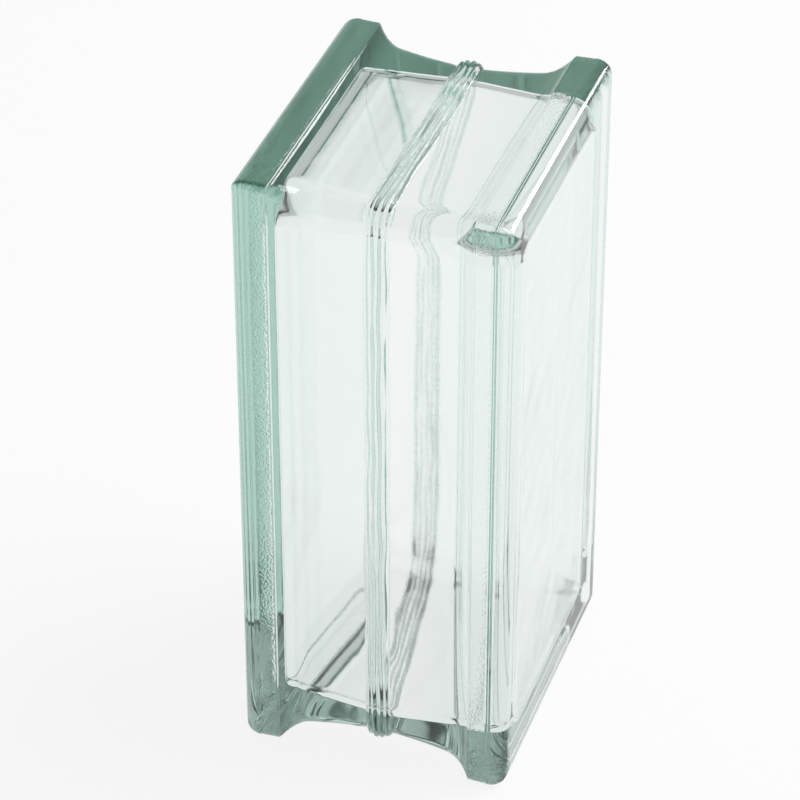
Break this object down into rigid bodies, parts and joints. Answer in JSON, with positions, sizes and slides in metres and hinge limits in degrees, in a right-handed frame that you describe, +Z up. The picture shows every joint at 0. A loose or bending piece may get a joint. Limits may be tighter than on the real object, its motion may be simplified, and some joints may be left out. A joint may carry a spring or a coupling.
{
  "type": "half glass block",
  "caption": "Hollow half block of clear pressed glass with plain flat faces, rounded rims, a recessed mortar groove and a welded seam, for building translucent walls.",
  "frame": {"origin": "centre of the footprint, on the floor plane that the two lower rims stand on", "axes": "+X across the block's thickness, from one big face to the other; +Y along the short side; +Z up along the long side"},
  "size_m": [0.08, 0.094, 0.19],
  "materials": {
    "clear_glass": "clear pressed soda-lime glass, fire-polished, faint green where it is thick"
  },
  "bodies": {
    "root": {"glass_block": "clear_glass"}
  },
  "joints": []
}
